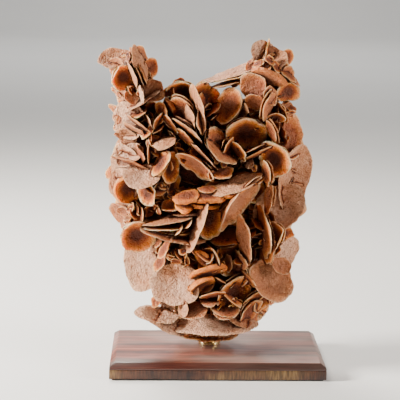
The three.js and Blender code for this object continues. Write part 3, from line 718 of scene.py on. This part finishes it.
def cross_cut_wood():
    """The lower board, grain from front to back: upright flecks on its ends, yellow and red brown."""
    material, tree, surface = new_material("cross_cut_wood")
    place = add(tree, "ShaderNodeTexCoord").outputs["Object"]
    heartwood = clouds(tree, stretched(tree, place, (26, 4, 30)), 1, 4)
    wood = ramp(tree, heartwood, (0.36, 0x3A1A0C), (0.5, 0x5C351C), (0.64, 0x84663A))
    rays = clouds(tree, stretched(tree, place, (620, 12, 90)), 1, 3)
    flecks = ramp(tree, rays, (0.32, 0x4A3426), (0.5, 0xB8A898), (0.68, 0xFFFFFF))
    flecked = mix_colour(tree, 0.8, wood, flecks, "MULTIPLY")
    finish_surface(
        tree,
        surface,
        {"Base Color": flecked, "Normal": bumped(tree, rays, 0.3, 0.2)},
        {"Roughness": 0.5, "Coat Weight": 0.15, "Coat Roughness": 0.35},
    )
    return material


def turned_brass():
    """Polished turned brass: a clear yellow metal, a little duller in places."""
    material, tree, surface = new_material("turned_brass")
    place = add(tree, "ShaderNodeTexCoord").outputs["Object"]
    sheen_and_wear = clouds(tree, place, 1 / (2 * MM), 4)
    colour = ramp(tree, sheen_and_wear, (0.3, 0xDDBB74), (0.6, 0xF6E2AC))
    rough = remap(tree, sheen_and_wear, new_low=0.2, new_high=0.38)
    finish_surface(tree, surface, {"Base Color": colour, "Roughness": rough}, {"Metallic": 1})
    return material


def black_felt():
    """Pressed wool felt: no shine, and a soft uneven nap."""
    material, tree, surface = new_material("black_felt")
    place = add(tree, "ShaderNodeTexCoord").outputs["Object"]
    nap = clouds(tree, place, 1 / (0.8 * MM), 6)
    finish_surface(
        tree,
        surface,
        {
            "Base Color": ramp(tree, nap, (0.3, 0x101013), (0.7, 0x2A2A2F)),
            "Normal": bumped(tree, nap, 0.6, 0.3),
        },
        {"Roughness": 1, "Sheen Weight": 0.3},
    )
    return material


def pale_paper(settings):
    """The studio's pale paper sweep: an even matt ground with hardly any mottle."""
    material, tree, surface = new_material("pale_paper")
    place = add(tree, "ShaderNodeTexCoord").outputs["Object"]
    light = linear(settings.floor_colour)
    dark = [0.94 * c for c in light[:3]] + [1]
    mottled = mix_colour(tree, clouds(tree, place, 3, 2), dark, light)
    finish_surface(tree, surface, {"Base Color": mottled}, {"Roughness": 0.9})
    return material


# ---- the stone ----
def model_blade(name, bumps, segments, rings, fall):
    """One crystal of radius 1: a sphere pressed to a lens or tablet, its rim pulled in and out."""
    deselect()
    bpy.ops.mesh.primitive_uv_sphere_add(segments=segments, ring_count=rings, radius=1)
    blade = bpy.context.object
    blade.name = name
    mesh = blade.data
    rim = mesh.attributes.new("rim", "FLOAT", "POINT")
    highest = SLAB_RIM if fall == SLAB else 1
    rim.data.foreach_set("value", [min(highest, math.hypot(*v.co[:2])) for v in mesh.vertices])
    mesh.attributes.new("crust", "FLOAT", "POINT")
    for level in sorted({round(abs(v.co.z), 4) for v in mesh.vertices} - {0}):
        select_points(mesh, lambda co: abs(abs(co.z) - level) < 0.001)
        flatter = 0.5 * level ** (fall - 1)
        bpy.ops.transform.resize(value=(1, 1, flatter), center_override=(0, 0, 0))
        bpy.ops.object.mode_set(mode="OBJECT")
    for angle, pull, reach in bumps:
        spot = Vector((math.cos(rad(angle)), math.sin(rad(angle)), 0))
        nearest = min((v.co - spot).length for v in mesh.vertices)
        select_points(mesh, lambda co: (co - spot).length < nearest + 0.01)
        bpy.ops.transform.resize(
            value=(pull, pull, 1),
            center_override=(0, 0, 0),
            use_proportional_edit=True,
            proportional_edit_falloff="SMOOTH",
            proportional_size=reach,
        )
        bpy.ops.object.mode_set(mode="OBJECT")
    return blade


def blade_axes(lean, roll):
    """A blade's long axis, its inward axis and its face normal, which is towards the front."""
    l, r = rad(lean), rad(roll)
    along = Vector((-math.sin(r), 0, math.cos(r)))
    normal = Vector((math.cos(r) * math.sin(l), -math.cos(l), math.sin(r) * math.sin(l)))
    inward = normal.cross(along)
    if inward.y < 0:
        along, inward = -along, -inward
    return along, inward, normal


class Cluster:
    """The crystals as they are laid out, before they are joined."""

    def __init__(self, settings, masters):
        self.settings = settings
        self.masters = masters
        self.random = random.Random(settings.seed)
        self.collection = bpy.data.collections.new("crystals")
        bpy.context.scene.collection.children.link(self.collection)

    def lay(self, centre, along, inward, normal, radius, oval, thickness, crust, cup=0.0, fall=LENS):
        """Lays one crystal, in mm. cup is how far its middle is pushed back from its rim."""
        size = next(least for least, _, _ in MASTER_SIZES if radius >= least)
        master = self.random.choice(self.masters[size, fall])
        turn = self.random.choice((1, -1))
        mesh = master.data.copy()
        pick = self.random
        waves = [(k, pick.uniform(0, ROUND), pick.uniform(0, WAVE_HEIGHT) / k) for k in WAVES]
        deepest, count = LARGE_CHIPS if radius > LARGE else SMALL_CHIPS
        chips = [
            (pick.uniform(0, ROUND), pick.uniform(deepest, SHALLOWEST_CHIP)) for _ in range(count)
        ]
        for vertex in mesh.vertices:
            x, y, _ = vertex.co
            vertex.co.z -= cup / max(thickness, 0.1) * (1 - x * x - y * y)
            around = math.atan2(y, x)
            pull = 1 + sum(high * math.cos(k * around + start) for k, start, high in waves)
            for chip, depth in chips:
                reach = math.cos(around - chip) * math.hypot(x, y)
                pull *= min(1, depth / max(reach, 0.01))
            vertex.co.x *= pull
            vertex.co.y *= pull
        basis = Matrix((turn * along * radius, turn * inward * radius * oval, normal * thickness))
        mesh.transform(Matrix.Translation(centre * MM) @ (basis.transposed() * MM).to_4x4())
        mesh.attributes["crust"].data.foreach_set("value", [crust] * len(mesh.vertices))
        crystal = bpy.data.objects.new("crystal", mesh)
        self.collection.objects.link(crystal)
        return crystal

    def thickness(self, radius):
        return self.settings.rim_thickness / MM + self.settings.swell * radius

    def drift(self, spot, mean, swing, width):
        """A roll that changes slowly from place to place, in degrees."""
        return mean + swing * noise.noise(spot / width) + self.random.uniform(-25, 25)

    def front_blade(self, row, stout=False):
        """One row of the table, reaching back into the heart."""
        x, y, z, radius, lean, roll, oval, crust = row
        along, inward, normal = blade_axes(lean, roll)
        centre = Vector((x, y, z))
        reach = math.sin(rad(lean))
        short = HEART_DEPTH - y - radius * oval * reach
        thickness = self.thickness(radius) + (STOUT if stout else 0)
        cup = self.settings.cup * radius if lean < CUP_LIMIT else LEANING_CUP * radius
        if short > 0 and lean > EDGE_ON:
            deeper = short / reach / 2
            centre += inward * deeper
            oval += deeper / radius
        elif short > 0:
            start = centre - normal * (cup + ROOT_START * thickness)
            depth = (HEART_DEPTH - start.y) / 2
            middle = start + Vector((0, depth, 0))
            side = along.cross(Vector((0, 1, 0))).normalized()
            back = Vector((0, 1, 0))
            size = ROOT_SIZE * radius
            if depth > 0:
                self.lay(middle, along, back, side, size, depth / size, thickness, crust)
        fall = SLAB if stout else LENS if lean > LEAF_LEAN else TABLET
        self.lay(centre, along, inward, normal, radius, oval, thickness, crust, cup, fall)
        if not stout and radius > SISTER_RADIUS and crust < 0.5 and y > -35:
            shift = self.random.uniform(-0.14, 0.14) * radius
            apart = thickness * self.random.uniform(0.9, 1.3)
            size = radius * self.random.uniform(0.82, 0.97)
            spot = centre + along * shift - normal * apart
            self.lay(spot, along, inward, normal, size, oval, thickness, crust, cup, fall)

    def heart_slab(self, row):
        """A broad slab inside the stone, and the blades across its rim."""
        x, y, z, radius, lean, roll, oval = row
        along, inward, normal = blade_axes(lean, roll)
        thickness = self.settings.heart_thickness / MM
        middle = Vector((x, y, z))
        self.lay(middle, along, inward, normal, radius, oval, thickness, 0.2)
        # Blades stand across its rim, so that no two slabs show as a seam from the side.
        for _ in range(SEAM_GROWTH):
            around = self.random.uniform(0, ROUND)
            outward = along * math.cos(around) + inward * oval * math.sin(around)
            small = self.random.uniform(*SEAM_RADIUS)
            spot = middle + outward * radius - outward.normalized() * 0.9 * small
            turn = Matrix.Rotation(rad(self.random.uniform(-60, 60)), 3, outward)
            turn = turn @ Matrix.Rotation(rad(self.random.uniform(-25, 25)), 3, normal)
            long, across = turn @ outward.normalized(), turn @ normal
            across = (across - long * long.dot(across)).normalized()
            axes = (long, across, long.cross(across))
            narrow = self.random.uniform(0.75, 1)
            dust = self.random.uniform(0.1, 0.9)
            self.lay(spot, *axes, small, narrow, self.thickness(small), dust)

    def rosette(self, row):
        """A rosette on the back: a backing disc, the fan that stands out of it, and what grew round it."""
        x, y, z, size, yaw, pitch = row
        pick = self.random
        w, p = rad(yaw), rad(pitch)
        out = Vector((math.sin(w) * math.cos(p), -math.cos(w) * math.cos(p), math.sin(p)))
        twist = Matrix.Rotation(rad(pick.uniform(0, 180)), 3, out)
        side = twist @ Vector((math.cos(w), math.sin(w), 0))
        up = out.cross(side)
        centre = Vector((x + pick.uniform(-5, 5), y, z + pick.uniform(-6, 6)))
        disc = self.settings.cup * size
        dust = pick.uniform(0.1, 1)
        self.lay(centre, side, up, out, size, 0.9, self.thickness(size), dust, disc, TABLET)
        for forward, across, share_along, share, fan, tilt in pick.sample(ROSETTE_FAN, 2):
            lean = rad(fan + pick.uniform(-14, 14))
            turn = Matrix.Rotation(lean, 3, up) @ Matrix.Rotation(rad(tilt), 3, out)
            spot = centre + (out * forward + side * across + up * share_along) * size
            radius = share * size * pick.uniform(0.8, 1.1)
            along, normal = turn @ up, turn @ side
            inward = normal.cross(along)
            oval = pick.uniform(*OVALS)
            self.lay(spot, along, inward, normal, radius, oval, self.thickness(radius), dust)
        for _ in range(BACK_GROWTH):
            across, rise, deep = pick.uniform(-1, 1), pick.uniform(-1, 1), pick.uniform(-0.3, 0.45)
            spot = centre + size * Vector((0.75 * across, deep, 0.95 * rise))
            lie = self.drift(spot, 200, 300, 34)
            axes = [BACKWARDS @ axis for axis in blade_axes(pick.uniform(15, 88), lie)]
            radius = size * pick.uniform(0.3, 0.8)
            oval = pick.uniform(*OVALS)
            self.lay(spot, *axes, radius, oval, self.thickness(radius), pick.uniform(0, 1))

    def undergrowth(self, x, z, wide, high, front, count):
        """Small blades in a hollow, leaning alike where they are near."""
        pick = self.random
        for _ in range(count):
            spot = Vector((x, 0, z))
            spot += Vector((pick.uniform(-wide, wide), pick.uniform(front, 0), pick.uniform(-high, high)))
            lie = self.drift(spot, 180, 260, 28)
            lean, oval = pick.uniform(50, 88), pick.uniform(*OVALS)
            self.front_blade((*spot, pick.uniform(4.5, 10), lean, lie, oval, pick.uniform(0, 0.5)))

    def crumbs(self, x, y, z, spread, count, size):
        """Small crystals strewn about a point."""
        pick = self.random
        for _ in range(count):
            spot = Vector([c + pick.uniform(-spread, spread) for c in (x, y, z)])
            radius = size * pick.uniform(0.6, 1.3)
            axes = blade_axes(pick.uniform(20, 88), pick.uniform(0, 360))
            self.lay(spot, *axes, radius, pick.uniform(*OVALS), self.thickness(radius), 0.1)

    def join(self):
        """All the crystals as one solid, without the crumbs that touch nothing."""
        crystals = list(self.collection.objects)
        stone = crystals[0]
        self.collection.objects.unlink(stone)
        bpy.context.scene.collection.objects.link(stone)
        apply_modifier(
            stone,
            "BOOLEAN",
            operation="UNION",
            operand_type="COLLECTION",
            collection=self.collection,
            solver="MANIFOLD",
        )
        for crystal in crystals[1:]:
            bpy.data.meshes.remove(crystal.data)
        bpy.data.collections.remove(self.collection)
        return keep_largest(stone)


def keep_largest(solid):
    """The largest of a solid's loose shells."""
    choose(solid)
    bpy.ops.mesh.separate(type="LOOSE")
    shells = sorted(bpy.context.selected_objects, key=lambda o: len(o.data.vertices))
    largest = shells.pop()
    for shell in shells:
        bpy.data.meshes.remove(shell.data)
    return largest


def weathered(stone, settings):
    """Warps and roughens the whole stone, so that no two rims are alike."""
    for name, size, strength, direction in (
        ("warp", settings.warp_size, settings.warp, "RGB_TO_XYZ"),
        ("ripple", settings.ripple_size, settings.ripple, "RGB_TO_XYZ"),
    ):
        texture = bpy.data.textures.new(name, "CLOUDS")
        texture.noise_scale = size
        texture.noise_depth = 2
        texture.cloud_type = "COLOR"
        apply_modifier(
            stone,
            "DISPLACE",
            texture=texture,
            texture_coords="LOCAL",
            direction=direction,
            strength=strength,
            mid_level=0.5,
        )


def cut_away(piece, radius, low, high):
    """Bores a round hole about the pin's axis out of a piece, between two heights."""
    pin_low, pin_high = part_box("mounting_pin")
    axis = (pin_low + pin_high) / 2
    deselect()
    bpy.ops.mesh.primitive_cylinder_add(
        vertices=48, radius=radius, depth=high - low, location=(axis.x, axis.y, (high + low) / 2)
    )
    tool = bpy.context.object
    apply_modifier(piece, "BOOLEAN", operation="DIFFERENCE", object=tool, solver="MANIFOLD")
    bpy.data.meshes.remove(tool.data)


def pin_hole():
    """The radius of the hole for the pin, and the heights of the pin's two ends."""
    low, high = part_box("mounting_pin")
    return (high.x - low.x) / 2 + PIN_PLAY, low.z, high.z


class StoneSettings(bpy.types.PropertyGroup):
    rim_thickness: FloatProperty(
        name="Rim thickness",
        description="Thickness that every blade has, whatever its radius",
        default=1.5 * MM,
        unit="LENGTH",
    )
    swell: FloatProperty(
        name="Swell", description="Extra thickness as a share of the radius", default=0.1
    )
    cup: FloatProperty(
        name="Cup", description="Depth of a blade's hollow face as a share of its radius", default=0.28
    )
    heart_thickness: FloatProperty(
        name="Heart thickness",
        description="Thickness of the slabs in the middle of the stone",
        default=13 * MM,
        unit="LENGTH",
    )
    warp: FloatProperty(
        name="Warp", description="How far the stone is bent about", default=2.6 * MM, unit="LENGTH"
    )
    warp_size: FloatProperty(
        name="Warp size", description="Width of one bend", default=17 * MM, unit="LENGTH"
    )
    ripple: FloatProperty(
        name="Ripple", description="How ragged the rims are", default=1.3 * MM, unit="LENGTH"
    )
    ripple_size: FloatProperty(
        name="Ripple size", description="Width of one ripple", default=5 * MM, unit="LENGTH"
    )
    seed: IntProperty(name="Seed", description="Start of the random draws", default=7)
    # Painted highlight: the colour of the pale line painted along the very edge.
    edge_highlight_colour: FloatVectorProperty(
        name="Edge", description="Pale line along the very edge", subtype="COLOR_GAMMA",
        default=srgb(0xEFBE90),
    )
    # Painted shade: the dark red-brown painted into the hollows, standing also for the sand there.
    hollow_shade_colour: FloatVectorProperty(
        name="Hollow", description="Sand in the hollows", subtype="COLOR_GAMMA",
        default=srgb(0x4A1C0A),
    )


class StandSettings(bpy.types.PropertyGroup):
    chamfer_width: FloatProperty(
        name="Chamfer width", description="Top chamfer, seen from above", default=5 * MM, unit="LENGTH"
    )
    chamfer_height: FloatProperty(
        name="Chamfer height", description="Top chamfer, seen from the side", default=4 * MM,
        unit="LENGTH",
    )
    worn_edge: FloatProperty(
        name="Worn edge", description="Rounding of the boards' edges", default=0.7 * MM,
        unit="LENGTH",
    )
    brass_edge: FloatProperty(
        name="Brass edge", description="Rounding of the brass", default=0.7 * MM, unit="LENGTH"
    )


class StageSettings(bpy.types.PropertyGroup):
    floor_colour: FloatVectorProperty(
        name="Floor", description="Colour of the paper sweep", subtype="COLOR_GAMMA",
        default=srgb(0xE4E2DE),
    )
    key_power: FloatProperty(name="Key light", description="Power in watts", default=68)
    fill_power: FloatProperty(name="Fill light", description="Power in watts", default=20)
    back_power: FloatProperty(name="Back light", description="Power in watts", default=20)
    sweep_power: FloatProperty(name="Sweep light", description="Power in watts", default=90)
    lens: FloatProperty(name="Lens", description="Focal length in mm", default=117)
    yaw: FloatProperty(name="Yaw", description="Turn to the right", default=rad(1.38), subtype="ANGLE")
    pitch: FloatProperty(name="Pitch", description="Tip down", default=rad(10.58), subtype="ANGLE")
    roll: FloatProperty(name="Roll", description="Lean", default=rad(0.69), subtype="ANGLE")


class SANDROSE_OT_stone(bpy.types.Operator):
    """Grow the stone: every blade, the heart and the back, joined in one solid"""

    bl_idname = "sandrose.stone"
    bl_label = "Grow the stone"

    def execute(self, context):
        settings = context.scene.sandrose_stone
        masters = {
            (size, fall): [model_blade(*row, segments, rings, fall) for row in MASTERS]
            for size, segments, rings in MASTER_SIZES
            for fall in (LENS, TABLET, SLAB)
        }
        cluster = Cluster(settings, masters)
        for row in HEART:
            cluster.heart_slab(row)
        for group, rows in BLADES.items():
            for row in rows:
                cluster.front_blade(row, group == "slabs")
        for row in UNDERGROWTH:
            cluster.undergrowth(*row)
        for row in BACK_ROSETTES:
            cluster.rosette(row)
        for row in CRUMBS:
            cluster.crumbs(*row)
        stone = cluster.join()
        for master in sum(masters.values(), []):
            bpy.data.meshes.remove(master.data)
        weathered(stone, settings)
        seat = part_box("collar")[1].z
        flange_low, flange_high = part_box("flange")
        cut_away(stone, (flange_high.x - flange_low.x) / 2, 0, seat)
        hole, _, pin_top = pin_hole()
        cut_away(stone, hole, 0, pin_top + 0.5 * MM)
        stone = keep_largest(stone)
        choose(stone)
        bpy.ops.object.shade_smooth_by_angle(angle=rad(32))
        finish_piece(stone, "stone", ["sand_rose"], sandy_gypsum(settings))
        return {"FINISHED"}


def board(node_name, settings, chamfer_width, chamfer_height):
    """A board in the node's box: a block, its top drawn in to a chamfer, and its edges worn."""
    low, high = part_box(node_name)
    size = high - low
    middle = (low + high) / 2
    straight = size.z - chamfer_height
    deselect()
    bpy.ops.mesh.primitive_cube_add(size=1, location=(middle.x, middle.y, low.z + straight / 2))
    block = bpy.context.object
    block.scale = (size.x, size.y, straight)
    place_at_origin(block)
    if chamfer_height > 0:
        select_faces(block.data, lambda centre, normal: normal.z > 0.9)
        bpy.ops.mesh.extrude_region_move(TRANSFORM_OT_translate={"value": (0, 0, chamfer_height)})
        shrink = [(side - 2 * chamfer_width) / side for side in size[:2]]
        bpy.ops.transform.resize(value=(*shrink, 1), center_override=middle)
        bpy.ops.object.mode_set(mode="OBJECT")
    apply_modifier(
        block, "BEVEL", width=settings.worn_edge, segments=3, limit_method="ANGLE", angle_limit=rad(20)
    )
    hole, pin_end, _ = pin_hole()
    cut_away(block, hole, max(min(pin_end, high.z), low.z - MM), high.z + MM)
    choose(block)
    bpy.ops.object.shade_smooth_by_angle(angle=rad(30))
    return block


class SANDROSE_OT_boards(bpy.types.Operator):
    """Make the two boards of the base"""

    bl_idname = "sandrose.boards"
    bl_label = "Make the boards"

    def execute(self, context):
        settings = context.scene.sandrose_stand
        upper = board("upper_board", settings, settings.chamfer_width, settings.chamfer_height)
        finish_piece(upper, "upper_plank", ["upper_board"], polished_rosewood())
        lower = board("lower_board", settings, 0, 0)
        finish_piece(lower, "lower_plank", ["lower_board"], cross_cut_wood())
        return {"FINISHED"}


def turned_ring(node_name, edge, grooves):
    """A turned ring in the node's box: a disc with rounded edges, grooves cut round it, and a bore."""
    low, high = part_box(node_name)
    middle = (low + high) / 2
    radius, height = (high.x - low.x) / 2, high.z - low.z
    deselect()
    bpy.ops.mesh.primitive_cylinder_add(vertices=64, radius=radius, depth=height, location=middle)
    ring = bpy.context.object
    place_at_origin(ring)
    for share in grooves:
        select_points(ring.data, lambda co: True)
        bpy.ops.mesh.bisect(plane_co=(0, 0, low.z + share * height), plane_no=(0, 0, 1))
        bpy.ops.mesh.bevel(offset=0.35 * MM, segments=2, profile=0.5)
        bpy.ops.object.mode_set(mode="OBJECT")
        level = low.z + share * height
        select_points(ring.data, lambda co: abs(co.z - level) < 0.05 * MM)
        bpy.ops.transform.resize(value=(0.96, 0.96, 1), center_override=middle)
        bpy.ops.object.mode_set(mode="OBJECT")
    apply_modifier(
        ring, "BEVEL", width=edge, segments=4, limit_method="ANGLE", angle_limit=rad(60)
    )
    cut_away(ring, pin_hole()[0], low.z - MM, high.z + MM)
    choose(ring)
    bpy.ops.object.shade_smooth_by_angle(angle=rad(35))
    return ring


class SANDROSE_OT_brass(bpy.types.Operator):
    """Turn the brass flange and collar, and finish the pin"""

    bl_idname = "sandrose.brass"
    bl_label = "Turn the brass"

    def execute(self, context):
        settings = context.scene.sandrose_stand
        brass = turned_brass()
        flange = turned_ring("flange", settings.brass_edge, [])
        finish_piece(flange, "brass_flange", ["flange"], brass)
        collar = turned_ring("collar", settings.brass_edge, [0.5])
        finish_piece(collar, "brass_collar", ["collar"], brass)
        frame["nodes"]["mounting_pin"].material_slots[0].material = brass
        return {"FINISHED"}


class SANDROSE_OT_felt(bpy.types.Operator):
    """Finish the felt pad under the base"""

    bl_idname = "sandrose.felt"
    bl_label = "Finish the felt"

    def execute(self, context):
        felt = black_felt()
        frame["nodes"]["felt_pad"].material_slots[0].material = felt
        return {"FINISHED"}


def area_light(name, power, size, location, target, colour):
    """A square soft light at a place, turned to a target."""
    data = bpy.data.lights.new(name, "AREA")
    data.energy, data.size, data.color = power, size, colour
    light = bpy.data.objects.new(name, data)
    light.location = location
    light.rotation_euler = (Vector(target) - Vector(location)).to_track_quat("-Z", "Y").to_euler()
    bpy.context.scene.collection.objects.link(light)


class SANDROSE_OT_stage(bpy.types.Operator):
    """Lay the floor, hang the lights and set the camera"""

    bl_idname = "sandrose.stage"
    bl_label = "Set the stage"

    def execute(self, context):
        settings = context.scene.sandrose_stage
        deselect()
        bpy.ops.mesh.primitive_plane_add(size=8, location=(0, 2.4, 0))
        floor = context.object
        select_points(floor.data, lambda co: co.y > 0)
        bpy.ops.mesh.extrude_region_move(TRANSFORM_OT_translate={"value": (0, 0, 4)})
        bpy.ops.object.mode_set(mode="OBJECT")
        apply_modifier(
            floor, "BEVEL", width=1.5, segments=12, limit_method="ANGLE", angle_limit=rad(30)
        )
        choose(floor)
        bpy.ops.object.shade_smooth()
        floor.name = "paper_sweep"
        floor.data.materials.append(pale_paper(settings))
        area_light("key", settings.key_power, 0.3, (-1.2, -0.22, 0.62), (0, 0, 0.15), (1, 0.96, 0.9))
        area_light("fill", settings.fill_power, 0.5, (1.2, -0.5, 0.5), (0, 0, 0.15), (1, 0.93, 0.88))
        area_light("back", settings.back_power, 0.4, (-0.35, 0.6, 1.0), (0, 0, 0.18), (1, 0.96, 0.9))
        area_light("sweep", settings.sweep_power, 2.5, (0, 3.6, 2.6), (0, 4.2, 0), (1, 1, 1))
        world = bpy.data.worlds.new("studio")
        world.use_nodes = True
        backing = world.node_tree.nodes["Background"]
        backing.inputs["Color"].default_value = linear(0xC8CCD2)
        backing.inputs["Strength"].default_value = 0.08
        context.scene.world = world
        data = bpy.data.cameras.new("camera")
        data.lens, data.sensor_width = settings.lens, 36
        camera = bpy.data.objects.new("camera", data)
        turn = (
            Matrix.Rotation(-settings.yaw, 4, "Z")
            @ Matrix.Rotation(math.pi / 2 - settings.pitch, 4, "X")
            @ Matrix.Rotation(settings.roll, 4, "Z")
        )
        camera.matrix_world = Matrix.Translation(CAMERA_PLACE) @ turn
        context.scene.collection.objects.link(camera)
        context.scene.camera = camera
        return {"FINISHED"}


CAMERA_PLACE = Vector((-43.7, -1140.5, 363.6)) * MM
OPERATORS = (
    SANDROSE_OT_stone,
    SANDROSE_OT_boards,
    SANDROSE_OT_brass,
    SANDROSE_OT_felt,
    SANDROSE_OT_stage,
)


class SANDROSE_PT_panel(bpy.types.Panel):
    """Sizes, colours and steps of the sand rose"""

    bl_label = "Sand rose"
    bl_idname = "SANDROSE_PT_panel"
    bl_space_type = "VIEW_3D"
    bl_region_type = "UI"
    bl_category = "Sand rose"

    def draw(self, context):
        for operator in OPERATORS:
            self.layout.operator(operator.bl_idname)
        for group in (
            context.scene.sandrose_stone,
            context.scene.sandrose_stand,
            context.scene.sandrose_stage,
        ):
            for name in group.bl_rna.properties.keys():
                if name not in ("rna_type", "name"):
                    self.layout.prop(group, name)


GROUPS = {
    "sandrose_stone": StoneSettings,
    "sandrose_stand": StandSettings,
    "sandrose_stage": StageSettings,
}


def register():
    for group in GROUPS.values():
        bpy.utils.register_class(group)
    for name, group in GROUPS.items():
        setattr(bpy.types.Scene, name, PointerProperty(type=group))
    for operator in OPERATORS:
        bpy.utils.register_class(operator)
    bpy.utils.register_class(SANDROSE_PT_panel)


def unregister():
    bpy.utils.unregister_class(SANDROSE_PT_panel)
    for operator in reversed(OPERATORS):
        bpy.utils.unregister_class(operator)
    for name in GROUPS:
        delattr(bpy.types.Scene, name)
    for group in GROUPS.values():
        bpy.utils.unregister_class(group)


def main():
    """Makes the whole object and the stage."""
    register()
    bpy.ops.sandrose.stone()
    bpy.ops.sandrose.boards()
    bpy.ops.sandrose.brass()
    bpy.ops.sandrose.felt()
    bpy.ops.sandrose.stage()


if __name__ == "__main__":
    main()
